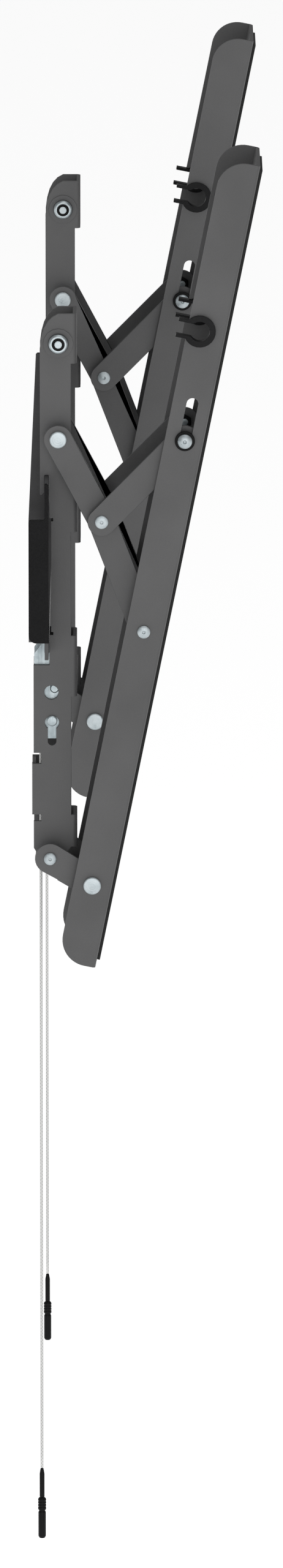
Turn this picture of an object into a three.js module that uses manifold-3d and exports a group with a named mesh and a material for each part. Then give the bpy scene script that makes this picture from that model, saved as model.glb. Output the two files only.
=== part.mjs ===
// Pull-out tilting wall mount for a flat screen: one wall rail and two folding brackets that hook onto it.
// Millimetres. X points away from the wall, Y runs along the rail, Z is up.
// The origin is on the rail's back, halfway along it and halfway up its body.
import * as THREE from 'three';
import { mergeVertices } from 'three/addons/utils/BufferGeometryUtils.js';
import Module from 'manifold-3d';

const wasm = await Module();
wasm.setup();

// ---------- Driving dimensions ----------
const GAP = 0.3; // clearance between pieces that rest on or pass each other
const PIN_PLAY = 0.2; // radial clearance of a pin in its hole
const SHEET = 2; // steel sheet of brackets and links
const BRACKET_SPACING = 400; // centre to centre along the rail

// Wall rail
const RAIL_LENGTH = 464;
const RAIL_HEIGHT = 65;
const RAIL_DEPTH = 10.3;
const RAIL_SHEET = 2;
const RAIL_TOP_LIP = 19; // how far the front lip stands above the body
const RAIL_BOTTOM_LIP = 9.5; // how far the front lip hangs below the body
const RAIL_SLOT = { length: 30, width: 7, rowHeight: 14, pitch: 140, perRow: 3 };
const CAP_THICKNESS = 3;
const CAP_PLUG = 10; // how far the end cap reaches into the rail

// Wall bracket
const WALL_WIDTH = 23; // outside of its two cheeks
const WALL_FRONT = 24.9; // front face of its web blocks
const WALL_CHEEK_FRONT = 21.8; // front edge of its cheeks between the blocks
const WALL_BOSS = { radius: 7.8, bore: 5.4, rise: 0.5 }; // pressed ring around the top bolt
const WALL_TOP = 136.8;
const WALL_HOOK_TIP = 41.7; // lowest point of the hook behind the rail's lip
const WALL_HOOK_WIDTH = 2.2;
const WALL_FOOT_REAR = 2.3; // rear edge below the rail
const WALL_WEB_BLOCKS = [[110.6, 136.8], [21.5, 62], [-65.7, -33.5], [-146, -128.9]];
const WALL_NOTCHES = [[-95.8, -101.6], [-128.7, -132.2]]; // cuts in its rear edge, either side of a folded lip
const WALL_NOTCH_DEPTH = 4;
const WALL_LIP_RISE = 0.8; // how far the folded lip stands behind the rear edge
const WALL_RECESS = { top: 27.4, bottom: -31.4, depth: 0.9, notch: 2, notchHeight: 1.6 }; // in front of the rail
const WALL_SHOULDER = { width: 6.4, drop: 18.5, inset: 1.2, sag: 3 }; // the hook's round upper rear corner
const WALL_FOOT_RADIUS = 7.6; // around the lower pivot
const WALL_STEP = 7; // below the rail's lower lip, where the cheeks reach back to the wall
const BEND = 2.2; // outside radius of a folded edge

// Pivots of the linkage in the extended position, in the wall bracket's X and Z
const UPPER_PIVOT = new THREE.Vector2(15.3, 72.4);
const LOWER_PIVOT = new THREE.Vector2(10.884, -149.581);
const ELBOW = new THREE.Vector2(37.846, 29.778);

// Screen bracket: a channel that leans forward, measured up its front face and back from it
const SCREEN_LENGTH = 432.35;
const SCREEN_DEPTH = 20;
const SCREEN_FOOT = new THREE.Vector2(34.4, -206.8);
const SCREEN_LEAN = THREE.MathUtils.degToRad(11.384);
const SCREEN_CORNER = 14; // rounding of the cheeks' rear corners
const ARM_JOINT = { along: 180.726, depth: 10.591 };
const FOOT_JOINT = { along: 43.024, depth: 10.289 };
const SLOT_PIN = { along: 283.911, depth: 9.715 };
const SLOT_TRAVEL = 19.8;
const CLIP_SEAT = { along: 341.9, depth: 13.6 };
const SCREEN_SLOTS = [70, 150, 250, 362]; // centres of the fixing slots up the web
const SCREEN_SLOT = { length: 26, width: 7 };
const PAD = { thickness: 1.5, width: 44, endGap: 3, slotMargin: 1 };

// Links
const LINK_RADIUS = 7.3; // half the width of an arm or tilt plate, and of their round ends
const FOOT_LINK_RADIUS = 7.9;
const FOOT_LINK_TIP = 7.1; // smaller round end inside the screen bracket, clear of its web
const FOOT_WEB = { start: 9, past: 0.5, notchEnd: 3.2, notchSide: 2.2 }; // along the link from the lower pivot
const ARM_STANDOFF = 7.5; // from the wall bracket's cheek to the arm plate
const TILT_STANDOFF = 3; // from the arm plate to the tilt plate
const HEAD_ROOM = 1.5; // from the tilt plate to the screen bracket's cheek
const FOOT_LINK_INSET = 3.5; // from the foot link's cheek to the screen bracket's cheek

// Pins: shaft radius, head radius, head thickness, and the radius of the shoulder between plates
const UPPER_AXLE = { shaft: 2.8, head: 4.4, rise: 1.3, shoulder: 4.4 };
const LOWER_AXLE = { shaft: 2.4, head: 3.3, rise: 1.4, shoulder: 3.9 };
const ARM_RIVET = { shaft: 2.5, head: 3.4, rise: 1.3, shoulder: 4.8 };
const FOOT_AXLE = { shaft: 2.4, head: 4.6, rise: 1.3, collar: 4.4 };
const ELBOW_RIVET = { shaft: 2.2, head: 3.5, rise: 1.1, shoulder: 4 };
const SLOT_BOLT = { shaft: 1.9, head: 3.8, rise: 2.4 };
const SLOT_BUSH = { hub: 2.75, flange: 5.2, flangeThickness: 1.2 };
const FOOT_PLAY = 1.05; // clearance of the foot axle in the screen bracket, taken up by the linkage
const TOP_BOLT = { x: 15.4, z: 121.2, shaft: 2, nut: 5, head: 4.2, height: 3 };

// Latch
const LATCH_SHEET = 1.6;
const LATCH_HOOK_TOP = -37.2;
const LATCH_BOTTOM = -88.5;
const LATCH_HOOK = { underLip: 0.8, heel: 5.5, throat: 0.6, nose: 0.8, neck: 7.5 }; // heights of the hook's corners
const LATCH_FRONT = 4.8; // from the spring's axis to the front of the slide
const LATCH_BACK = 2; // from the cord to the back of the slide
const LATCH_TRAVEL = 5.6;
const LATCH_PIN = { x: 11.9, z: -78.6, shaft: 1.8, head: 2.8, rise: 1.1 };
const LATCH_WINDOW = { x: 11.6, z: -63.6, radius: 3.8 };
const KEYHOLE = { radius: 3.8, slot: 4.5, bottom: -91.8, drop: 1.1 };
const ANCHOR = { x: 13.2, z: -62, radius: 1.9 };
const SPRING = { radius: 2.6, wire: 0.45, turns: 8 };

// Pull cord: straight down from the latch
const CORD = { x: 5.9, radius: 0.75, bottom: -485.6 };
const SLEEVE = { radius: 1.3, length: 15.8 };
const PULL = { collar: 2.15, collarLength: 7, body: 2, bodyLength: 15.1 };

// Cable clip
const CLIP = { outer: 7.2, inner: 5.2, flange: 8.3, prong: 5.4, mouth: 3.4, arm: 1.6, lip: 1.4 };

// ---------- Places worked out from the dimensions ----------
const wallHalf = WALL_WIDTH / 2;
const armInner = wallHalf + ARM_STANDOFF;
const armOuter = armInner + SHEET;
const tiltInner = armOuter + TILT_STANDOFF;
const tiltOuter = tiltInner + SHEET;
const screenInner = tiltOuter + HEAD_ROOM;
const screenOuter = screenInner + SHEET;
const footLinkOuter = screenInner - FOOT_LINK_INSET;
const footLinkInner = footLinkOuter - SHEET;
const railTop = RAIL_HEIGHT / 2;
const lipRear = RAIL_DEPTH - RAIL_SHEET;

// A point of the screen bracket in the wall bracket's X and Z.
function onScreenBracket({ along, depth }) {
  const up = new THREE.Vector2(Math.sin(SCREEN_LEAN), Math.cos(SCREEN_LEAN));
  const out = new THREE.Vector2(Math.cos(SCREEN_LEAN), -Math.sin(SCREEN_LEAN));
  return SCREEN_FOOT.clone().addScaledVector(up, along).addScaledVector(out, -depth);
}
const armJoint = onScreenBracket(ARM_JOINT);
const footJoint = onScreenBracket(FOOT_JOINT);
const slotPin = onScreenBracket(SLOT_PIN);

// ---------- Finishes ----------
const steelPaint = { color: 0x636363, roughness: 0.55, metalness: 0.35 };
const railPaint = { color: 0x3c3c3e, roughness: 0.6, metalness: 0.3 };
const zinc = { color: 0xccd6da, roughness: 0.3, metalness: 0.9 };
const blackPlastic = { color: 0x1d1d1f, roughness: 0.6, metalness: 0 };
const blackFoam = { color: 0x161616, roughness: 0.95, metalness: 0 };
const springSteel = { color: 0x8f979b, roughness: 0.35, metalness: 0.9 };
const cordNylon = { color: 0xd6d6d6, roughness: 0.8, metalness: 0 };

// ---------- Solid helpers ----------
// A closed three.js geometry as a manifold solid.
function solid(geometry) {
  const bare = geometry.clone();
  bare.deleteAttribute('normal');
  bare.deleteAttribute('uv');
  const merged = mergeVertices(bare, 1e-4);
  const vertProperties = Float32Array.from(merged.attributes.position.array);
  const triVerts = Uint32Array.from(merged.index.array);
  return new wasm.Manifold(new wasm.Mesh({ numProp: 3, vertProperties, triVerts }));
}

// A manifold solid as a three.js geometry with flat faces.
function geometryOf(body) {
  const mesh = body.getMesh();
  const geometry = new THREE.BufferGeometry();
  geometry.setAttribute('position', new THREE.BufferAttribute(Float32Array.from(mesh.vertProperties), 3));
  geometry.setIndex(new THREE.BufferAttribute(Uint32Array.from(mesh.triVerts), 1));
  return geometry;
}

const joined = (bodies) => bodies.reduce((sum, body) => sum.add(body));
const cutBy = (body, tools) => tools.reduce((left, tool) => left.subtract(tool), body);

// A flat plate: an outline in X and Z, from y0 to y1.
function plate(outline, y0, y1, curveSegments = 6) {
  const geometry = new THREE.ExtrudeGeometry(outline, { depth: y1 - y0, bevelEnabled: false, curveSegments });
  geometry.rotateX(Math.PI / 2);
  geometry.translate(0, y1, 0);
  return solid(geometry);
}

// A bar of constant section: an outline in X and Y, from z0 to z1.
function bar(outline, z0, z1, curveSegments = 4) {
  const geometry = new THREE.ExtrudeGeometry(outline, { depth: z1 - z0, bevelEnabled: false, curveSegments });
  geometry.translate(0, 0, z0);
  return solid(geometry);
}

function block(x0, x1, y0, y1, z0, z1) {
  const geometry = new THREE.BoxGeometry(x1 - x0, y1 - y0, z1 - z0);
  geometry.translate((x0 + x1) / 2, (y0 + y1) / 2, (z0 + z1) / 2);
  return solid(geometry);
}

// A round bar along Y.
function round(x, z, radius, y0, y1, sides = 16) {
  const geometry = new THREE.CylinderGeometry(radius, radius, y1 - y0, sides);
  geometry.translate(x, (y0 + y1) / 2, z);
  return solid(geometry);
}

// A solid of revolution about the Y axis, faces outward whichever way the profile of [radius, height] runs.
function revolved(profile, sides) {
  const points = profile.map(([radius, height]) => new THREE.Vector2(radius, height));
  if (THREE.ShapeUtils.area(points) < 0) points.reverse();
  return new THREE.LatheGeometry(points, sides);
}

// A solid of revolution about an axis along Y through x and z: profile points are [radius, y].
function turned(x, z, profile, sides = 16) {
  return solid(revolved(profile, sides).translate(x, 0, z));
}

// An upright solid of revolution about an axis through x and y: profile points are [radius, z].
function upright(x, y, profile, sides = 12) {
  return solid(revolved(profile, sides).rotateX(Math.PI / 2).translate(x, y, 0));
}

// The outline of a flat link with round ends between two points.
function linkOutline(from, to, radius, toRadius = radius) {
  const angle = Math.atan2(to.y - from.y, to.x - from.x);
  const shape = new THREE.Shape();
  shape.absarc(to.x, to.y, toRadius, angle - Math.PI / 2, angle + Math.PI / 2, false);
  shape.absarc(from.x, from.y, radius, angle + Math.PI / 2, angle + (3 * Math.PI) / 2, false);
  shape.closePath();
  return shape;
}

// A slot through a plate from y0 to y1: round ends of the given radius at two heights.
function uprightSlot(x, z0, z1, radius, y0, y1) {
  return plate(linkOutline(new THREE.Vector2(x, z0), new THREE.Vector2(x, z1), radius), y0, y1, 8);
}

// The same plate or pin on the near and the far side of the bracket's middle plane.
const onBothSides = (make) => [-1, 1].map((side) => make(side));
const spanOf = (side, inner, outer) => (side < 0 ? [-outer, -inner] : [inner, outer]);

// The half of a pin's outline that lies on the far side, as [radius, y], and its mirror for the near side.
const mirrored = (half) => half.map(([radius, y]) => [radius, -y]).reverse();
const onSide = (side, half) => (side > 0 ? half : mirrored(half));

// A pin's head seated at the given reach: a low flat disc or a dome.
function headProfile({ head, rise }, reach, domed) {
  if (domed) {
    return [[head, reach], [head, reach + rise * 0.4], [head * 0.82, reach + rise * 0.8], [0, reach + rise]];
  }
  return [[head, reach], [head, reach + rise * 0.7], [head - rise * 0.3, reach + rise], [0, reach + rise]];
}

// A cross axle: a thick middle between two plates, thinner ends through them, and a head on each end.
function crossAxle(at, pin, middle, reach, domed) {
  const half = [[pin.shoulder, middle - GAP], [pin.shaft, middle - GAP], [pin.shaft, reach]];
  half.push(...headProfile(pin, reach, domed));
  return turned(at.x, at.y, [...mirrored(half), ...half]);
}

// ---------- Rail and end caps ----------
function railBody() {
  const shape = new THREE.Shape();
  shape.moveTo(0, -railTop);
  shape.lineTo(lipRear, -railTop);
  shape.lineTo(lipRear, -railTop - RAIL_BOTTOM_LIP);
  shape.lineTo(RAIL_DEPTH, -railTop - RAIL_BOTTOM_LIP);
  shape.lineTo(RAIL_DEPTH, -railTop + RAIL_SHEET);
  shape.lineTo(RAIL_SHEET, -railTop + RAIL_SHEET);
  shape.lineTo(RAIL_SHEET, railTop - RAIL_SHEET);
  shape.lineTo(RAIL_DEPTH, railTop - RAIL_SHEET);
  shape.lineTo(RAIL_DEPTH, railTop + RAIL_TOP_LIP);
  shape.lineTo(lipRear, railTop + RAIL_TOP_LIP);
  shape.lineTo(lipRear, railTop);
  shape.lineTo(0, railTop);
  shape.closePath();
  const slots = [];
  for (let row = -1; row <= 1; row += 2) {
    for (let i = 0; i < RAIL_SLOT.perRow; i += 1) {
      const y = (i - (RAIL_SLOT.perRow - 1) / 2) * RAIL_SLOT.pitch;
      const half = (RAIL_SLOT.length - RAIL_SLOT.width) / 2;
      const outline = linkOutline(new THREE.Vector2(-half, 0), new THREE.Vector2(half, 0), RAIL_SLOT.width / 2);
      const geometry = new THREE.ExtrudeGeometry(outline, {
        depth: RAIL_SHEET * 3, bevelEnabled: false, curveSegments: 6,
      });
      geometry.rotateX(Math.PI / 2).rotateZ(Math.PI / 2);
      geometry.translate(-RAIL_SHEET, y, row * RAIL_SLOT.rowHeight);
      slots.push(solid(geometry));
    }
  }
  return cutBy(plate(shape, -RAIL_LENGTH / 2, RAIL_LENGTH / 2), slots);
}

// A cap closes one end of the rail: a cover with a rounded lower rear corner, and a plug in the channel.
function endCap(side) {
  const corner = 4;
  const edge = 0.8;
  const cover = new THREE.Shape();
  cover.moveTo(corner, -railTop);
  cover.lineTo(RAIL_DEPTH, -railTop);
  cover.lineTo(RAIL_DEPTH, railTop + RAIL_TOP_LIP - edge);
  cover.lineTo(RAIL_DEPTH - edge, railTop + RAIL_TOP_LIP);
  cover.lineTo(lipRear, railTop + RAIL_TOP_LIP);
  cover.lineTo(lipRear, railTop + edge);
  cover.lineTo(lipRear - edge, railTop);
  cover.lineTo(edge, railTop);
  cover.lineTo(0, railTop - edge);
  cover.lineTo(0, -railTop + corner);
  cover.absarc(corner, -railTop + corner, corner, Math.PI, (3 * Math.PI) / 2, false);
  const end = RAIL_LENGTH / 2;
  const [c0, c1] = spanOf(side, end + GAP, end + GAP + CAP_THICKNESS);
  const [p0, p1] = spanOf(side, end - CAP_PLUG, end + GAP + 1);
  const plugTop = railTop - RAIL_SHEET - GAP;
  const plug = block(RAIL_SHEET + GAP, RAIL_DEPTH - GAP, p0, p1, -plugTop, plugTop);
  return plate(cover, c0, c1, 5).add(plug);
}

// ---------- Wall bracket ----------
// One cheek: hooked over the rail's lip above, cut back to clear the rail, deep again below it.
function wallCheekOutline() {
  const hookRear = lipRear - GAP - WALL_HOOK_WIDTH;
  const railClear = RAIL_DEPTH + GAP;
  const front = WALL_CHEEK_FRONT;
  const notchTop = railTop + RAIL_TOP_LIP + GAP;
  const step = -railTop - RAIL_BOTTOM_LIP - WALL_STEP;
  const { top: recessTop, bottom: recessFoot, depth: recess, notch, notchHeight } = WALL_RECESS;
  const [[top, lipTop], [lipFoot, foot]] = WALL_NOTCHES;
  const notchFront = WALL_FOOT_REAR + WALL_NOTCH_DEPTH;
  const lipRearEdge = WALL_FOOT_REAR - WALL_LIP_RISE;
  const shape = new THREE.Shape();
  shape.moveTo(front, WALL_TOP);
  shape.lineTo(front - WALL_SHOULDER.width, WALL_TOP);
  shape.quadraticCurveTo(
    hookRear + WALL_SHOULDER.inset, WALL_TOP - WALL_SHOULDER.sag, hookRear, WALL_TOP - WALL_SHOULDER.drop);
  shape.lineTo(hookRear, WALL_HOOK_TIP);
  shape.lineTo(hookRear + 0.8, WALL_HOOK_TIP - 0.6);
  shape.lineTo(lipRear - GAP, WALL_HOOK_TIP + 1);
  shape.lineTo(lipRear - GAP, notchTop);
  shape.lineTo(railClear, notchTop);
  for (const [x, z] of [[0, recessTop + notchHeight], [notch, recessTop + notchHeight], [notch, recessTop],
    [recess, recessTop], [recess, recessFoot], [notch, recessFoot], [notch, recessFoot - notchHeight],
    [0, recessFoot - notchHeight]]) {
    shape.lineTo(railClear + x, z);
  }
  shape.lineTo(railClear, step);
  shape.lineTo(WALL_FOOT_REAR, step);
  for (const [x, z] of [[WALL_FOOT_REAR, top], [notchFront, top], [notchFront, lipTop], [lipRearEdge, lipTop],
    [lipRearEdge, lipFoot], [notchFront, lipFoot], [notchFront, foot], [WALL_FOOT_REAR, foot]]) {
    shape.lineTo(x, z);
  }
  shape.lineTo(WALL_FOOT_REAR, LOWER_PIVOT.y + 3);
  shape.absarc(LOWER_PIVOT.x, LOWER_PIVOT.y, WALL_FOOT_RADIUS, Math.PI * 0.95, Math.PI * 1.6, false);
  shape.lineTo(front, LOWER_PIVOT.y + 3.6);
  shape.closePath();
  return shape;
}

function wallWebOutline() {
  const front = WALL_FRONT;
  const rear = WALL_FRONT - SHEET - 1.5;
  const shape = new THREE.Shape();
  shape.moveTo(rear, -wallHalf);
  shape.lineTo(front - BEND, -wallHalf);
  shape.absarc(front - BEND, -wallHalf + BEND, BEND, -Math.PI / 2, 0, false);
  shape.lineTo(front, wallHalf - BEND);
  shape.absarc(front - BEND, wallHalf - BEND, BEND, 0, Math.PI / 2, false);
  shape.lineTo(rear, wallHalf);
  shape.lineTo(rear, wallHalf - SHEET);
  shape.lineTo(front - SHEET, wallHalf - SHEET);
  shape.lineTo(front - SHEET, -wallHalf + SHEET);
  shape.lineTo(rear, -wallHalf + SHEET);
  shape.closePath();
  return shape;
}

function wallBracket() {
  const cheeks = onBothSides((side) => plate(wallCheekOutline(), ...spanOf(side, wallHalf - SHEET, wallHalf), 5));
  const webs = WALL_WEB_BLOCKS.map(([z0, z1]) => bar(wallWebOutline(), z0, z1));
  // Stiffening lips folded inward from the cheeks' rear edges, in front of the rail and again below it.
  const lipX = RAIL_DEPTH + GAP + WALL_RECESS.depth;
  const lowX = WALL_FOOT_REAR - WALL_LIP_RISE;
  const lips = onBothSides((side) => {
    const [y0, y1] = spanOf(side, wallHalf - 5, wallHalf - SHEET / 2);
    const low = block(lowX, lowX + SHEET, y0, y1, WALL_NOTCHES[1][0], WALL_NOTCHES[0][1]);
    return block(lipX, lipX + SHEET, y0, y1, WALL_RECESS.bottom + GAP, WALL_RECESS.top - GAP).add(low);
  });
  const bosses = onBothSides((side) => {
    const [y0, y1] = spanOf(side, wallHalf - SHEET / 2, wallHalf + WALL_BOSS.rise);
    const face = spanOf(side, wallHalf, wallHalf + WALL_BOSS.rise + 1);
    return round(TOP_BOLT.x, TOP_BOLT.z, WALL_BOSS.radius, y0, y1)
      .subtract(round(TOP_BOLT.x, TOP_BOLT.z, WALL_BOSS.bore, ...face));
  });
  const through = [-wallHalf - 1, wallHalf + 1];
  const tools = [
    round(UPPER_PIVOT.x, UPPER_PIVOT.y, UPPER_AXLE.shoulder + PIN_PLAY, ...through),
    round(LOWER_PIVOT.x, LOWER_PIVOT.y, LOWER_AXLE.shoulder + PIN_PLAY, ...through),
    round(TOP_BOLT.x, TOP_BOLT.z, TOP_BOLT.shaft + PIN_PLAY, ...through),
    round(LATCH_WINDOW.x, LATCH_WINDOW.z, LATCH_WINDOW.radius, ...through),
    round(LATCH_PIN.x, LATCH_PIN.z - KEYHOLE.drop, KEYHOLE.radius, ...through),
    uprightSlot(LATCH_PIN.x, KEYHOLE.bottom + KEYHOLE.slot / 2, LATCH_PIN.z, KEYHOLE.slot / 2, ...through),
  ];
  return cutBy(joined([...cheeks, ...webs, ...lips, ...bosses]), tools);
}

// ---------- Screen bracket, in its own frame: X is depth (front face at 0), Z runs up it ----------
function screenCheekOutline() {
  const top = SCREEN_LENGTH;
  const shape = new THREE.Shape();
  shape.moveTo(-BEND / 2, 0);
  shape.lineTo(-BEND / 2, top);
  shape.lineTo(-SCREEN_DEPTH + SCREEN_CORNER, top);
  shape.absarc(-SCREEN_DEPTH + SCREEN_CORNER, top - SCREEN_CORNER, SCREEN_CORNER, Math.PI / 2, Math.PI, false);
  shape.lineTo(-SCREEN_DEPTH, SCREEN_CORNER);
  shape.absarc(-SCREEN_DEPTH + SCREEN_CORNER, SCREEN_CORNER, SCREEN_CORNER, Math.PI, (3 * Math.PI) / 2, false);
  shape.closePath();
  return shape;
}

function screenWebOutline() {
  const rear = -SHEET - 2;
  const shape = new THREE.Shape();
  shape.moveTo(rear, -screenOuter);
  shape.lineTo(-BEND, -screenOuter);
  shape.absarc(-BEND, -screenOuter + BEND, BEND, -Math.PI / 2, 0, false);
  shape.lineTo(0, screenOuter - BEND);
  shape.absarc(-BEND, screenOuter - BEND, BEND, 0, Math.PI / 2, false);
  shape.lineTo(rear, screenOuter);
  shape.lineTo(rear, screenInner);
  shape.lineTo(-SHEET, screenInner);
  shape.lineTo(-SHEET, -screenInner);
  shape.lineTo(rear, -screenInner);
  shape.closePath();
  return shape;
}

// An upright slot through the web, widened by a margin all round.
function webSlot(z, margin) {
  const half = (SCREEN_SLOT.length - SCREEN_SLOT.width) / 2;
  const radius = SCREEN_SLOT.width / 2 + margin;
  const outline = linkOutline(new THREE.Vector2(0, -half), new THREE.Vector2(0, half), radius);
  const depth = SHEET * 4;
  const geometry = new THREE.ExtrudeGeometry(outline, { depth, bevelEnabled: false, curveSegments: 6 });
  geometry.rotateX(Math.PI / 2).rotateZ(Math.PI / 2);
  geometry.translate(-depth / 2, 0, z);
  return solid(geometry);
}

function screenBracket() {
  const cheeks = onBothSides((side) => plate(screenCheekOutline(), ...spanOf(side, screenInner, screenOuter), 6));
  const web = bar(screenWebOutline(), 0, SCREEN_LENGTH);
  const through = [-screenOuter - 1, screenOuter + 1];
  const seat = CLIP.outer + GAP;
  const throat = CLIP.mouth + CLIP.arm + GAP;
  const tools = [
    round(-ARM_JOINT.depth, ARM_JOINT.along, ARM_RIVET.shaft + PIN_PLAY, ...through),
    round(-FOOT_JOINT.depth, FOOT_JOINT.along, FOOT_AXLE.shaft + FOOT_PLAY, ...through),
    uprightSlot(-SLOT_PIN.depth, SLOT_PIN.along, SLOT_PIN.along + SLOT_TRAVEL, SLOT_BUSH.hub + GAP, ...through),
    round(-CLIP_SEAT.depth, CLIP_SEAT.along, seat, ...through, 24),
    block(-SCREEN_DEPTH - 1, -CLIP_SEAT.depth, ...through, CLIP_SEAT.along - throat, CLIP_SEAT.along + throat),
    ...SCREEN_SLOTS.map((z) => webSlot(z, 0)),
  ];
  return cutBy(joined([...cheeks, web]), tools);
}

function screenPad() {
  const { thickness, width, endGap, slotMargin } = PAD;
  const strip = block(GAP, GAP + thickness, -width / 2, width / 2, endGap, SCREEN_LENGTH - endGap);
  return cutBy(strip, SCREEN_SLOTS.map((z) => webSlot(z, slotMargin)));
}

// A C-shaped clip in a cheek's notch: a split ring with two prongs that reach back past the cheek.
function cableClip(side) {
  const { outer, inner, flange, prong, mouth, arm, lip } = CLIP;
  const x = -CLIP_SEAT.depth;
  const z = CLIP_SEAT.along;
  const body = spanOf(side, screenInner - lip, screenOuter + GAP + lip);
  const collar = spanOf(side, screenOuter + GAP, screenOuter + GAP + lip);
  const ring = round(x, z, outer, ...body, 24).add(round(x, z, flange, ...collar, 24));
  const rear = -SCREEN_DEPTH - prong;
  const arms = block(rear, x, ...body, z - mouth - arm, z + mouth + arm);
  const wide = spanOf(side, screenInner - 3, screenOuter + 3);
  return cutBy(ring.add(arms), [
    round(x, z, inner, ...wide, 24),
    block(rear - 1, x, ...wide, z - mouth, z + mouth),
  ]);
}

// ---------- Links ----------
function armPlate(side) {
  const span = spanOf(side, armInner, armOuter);
  const upper = plate(linkOutline(UPPER_PIVOT, ELBOW, LINK_RADIUS), ...span, 8);
  const lower = plate(linkOutline(ELBOW, armJoint, LINK_RADIUS), ...span, 8);
  const through = spanOf(side, armInner - 1, armOuter + 1);
  return cutBy(upper.add(lower), [
    round(UPPER_PIVOT.x, UPPER_PIVOT.y, UPPER_AXLE.shaft + PIN_PLAY, ...through),
    round(ELBOW.x, ELBOW.y, ELBOW_RIVET.shaft + PIN_PLAY, ...through),
    round(armJoint.x, armJoint.y, ARM_RIVET.shaft + PIN_PLAY, ...through),
  ]);
}

function tiltPlate(side) {
  const span = spanOf(side, tiltInner, tiltOuter);
  const through = spanOf(side, tiltInner - 1, tiltOuter + 1);
  return cutBy(plate(linkOutline(ELBOW, slotPin, LINK_RADIUS), ...span, 8), [
    round(ELBOW.x, ELBOW.y, ELBOW_RIVET.shaft + PIN_PLAY, ...through),
    round(slotPin.x, slotPin.y, SLOT_BOLT.shaft + PIN_PLAY, ...through),
  ]);
}

// The foot link is a short channel: two cheeks and a web under them that starts clear of the wall bracket.
// A long notch down the web's middle lets the pull cord through when the link hangs down.
function footLink() {
  const cheeks = onBothSides((side) => plate(
    linkOutline(LOWER_PIVOT, footJoint, FOOT_LINK_RADIUS, FOOT_LINK_TIP),
    ...spanOf(side, footLinkInner, footLinkOuter), 8));
  const reach = footJoint.clone().sub(LOWER_PIVOT);
  const webEnd = reach.length() + FOOT_WEB.past;
  const webTop = FOOT_LINK_RADIUS - SHEET;
  const notchHalf = CORD.radius + FOOT_WEB.notchSide;
  const slab = (x0, x1, y0, y1, deep) => {
    const box = new THREE.BoxGeometry(x1 - x0, y1 - y0, SHEET + 2 * deep);
    box.translate((x0 + x1) / 2, (y0 + y1) / 2, -webTop - SHEET / 2);
    box.rotateY(-Math.atan2(reach.y, reach.x));
    box.translate(LOWER_PIVOT.x, 0, LOWER_PIVOT.y);
    return solid(box);
  };
  const web = slab(FOOT_WEB.start, webEnd, -footLinkOuter, footLinkOuter, 0);
  const notch = slab(FOOT_WEB.start - 1, webEnd - FOOT_WEB.notchEnd, -notchHalf, notchHalf, 1);
  const through = [-footLinkOuter - 1, footLinkOuter + 1];
  return cutBy(joined([...cheeks, web.subtract(notch)]), [
    round(LOWER_PIVOT.x, LOWER_PIVOT.y, LOWER_AXLE.shaft + PIN_PLAY, ...through),
    round(footJoint.x, footJoint.y, FOOT_AXLE.shaft + PIN_PLAY, ...through),
  ]);
}

// ---------- Pins, bolts and bushes ----------
// An elbow rivet: a head inside the arm plate, a shoulder between the plates, a low head outside.
function elbowRivet(side) {
  const { shaft, head, rise, shoulder } = ELBOW_RIVET;
  const seat = armInner - GAP;
  return turned(ELBOW.x, ELBOW.y, onSide(side, [
    [0, seat - rise], [head, seat - rise], [head, seat], [shaft, seat],
    [shaft, armOuter + GAP], [shoulder, armOuter + GAP], [shoulder, tiltInner - GAP], [shaft, tiltInner - GAP],
    [shaft, tiltOuter + 0.1], ...headProfile(ELBOW_RIVET, tiltOuter + 0.1, true),
  ]));
}

// An arm rivet joins an arm plate to the screen bracket's cheek across a shoulder.
function armRivet(side) {
  const { shaft, head, rise, shoulder } = ARM_RIVET;
  const seat = armInner - GAP;
  return turned(armJoint.x, armJoint.y, onSide(side, [
    [0, seat - rise], [head, seat - rise], [head, seat], [shaft, seat],
    [shaft, armOuter + GAP], [shoulder, armOuter + GAP], [shoulder, screenInner - GAP],
    [shaft, screenInner - GAP], [shaft, screenOuter + GAP],
    ...headProfile(ARM_RIVET, screenOuter + GAP, true),
  ]));
}

// The foot axle runs right across, with a collar on each side between the link and the screen bracket.
function footAxle() {
  const { shaft, collar } = FOOT_AXLE;
  const half = [
    [shaft, footLinkOuter + GAP], [collar, footLinkOuter + GAP], [collar, screenInner - GAP],
    [shaft, screenInner - GAP], [shaft, screenOuter + GAP],
    ...headProfile(FOOT_AXLE, screenOuter + GAP, false),
  ];
  return turned(footJoint.x, footJoint.y, [...mirrored(half), ...half]);
}

// A slot bolt ties a tilt plate to the bush that slides in the screen bracket's slot.
function slotBolt(side) {
  const { shaft, head, rise } = SLOT_BOLT;
  const seat = screenOuter + SLOT_BUSH.flangeThickness + 2 * GAP;
  return turned(slotPin.x, slotPin.y, onSide(side, [
    [0, tiltInner - GAP - rise], [head, tiltInner - GAP - rise], [head, tiltInner - GAP],
    [shaft, tiltInner - GAP], [shaft, seat], ...headProfile(SLOT_BOLT, seat, true),
  ]));
}

function slotBush(side) {
  const { hub, flange, flangeThickness } = SLOT_BUSH;
  const bore = SLOT_BOLT.shaft + PIN_PLAY;
  const face = screenOuter + GAP;
  return turned(slotPin.x, slotPin.y, onSide(side, [
    [bore, tiltOuter + GAP], [hub, tiltOuter + GAP], [hub, face], [flange, face],
    [flange, face + flangeThickness], [bore, face + flangeThickness], [bore, tiltOuter + GAP],
  ]));
}

// The locking bolt across the top of the wall bracket: head on the far side, round lock nut on the near side.
function topBolt() {
  const { x, z, shaft, nut, head, height } = TOP_BOLT;
  const seat = wallHalf + GAP;
  return turned(x, z, [
    [0, -seat - height - 0.6], [shaft, -seat - height - 0.6], [shaft, -seat - height + 1],
    [shaft + 1, -seat - height + 1], [shaft + 1, -seat - height], [nut * 0.86, -seat - height],
    [nut, -seat - height * 0.7], [nut, -seat], [shaft, -seat], [shaft, seat], [head, seat],
    [head, seat + height * 0.8], [head * 0.8, seat + height], [0, seat + height],
  ]);
}

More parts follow.
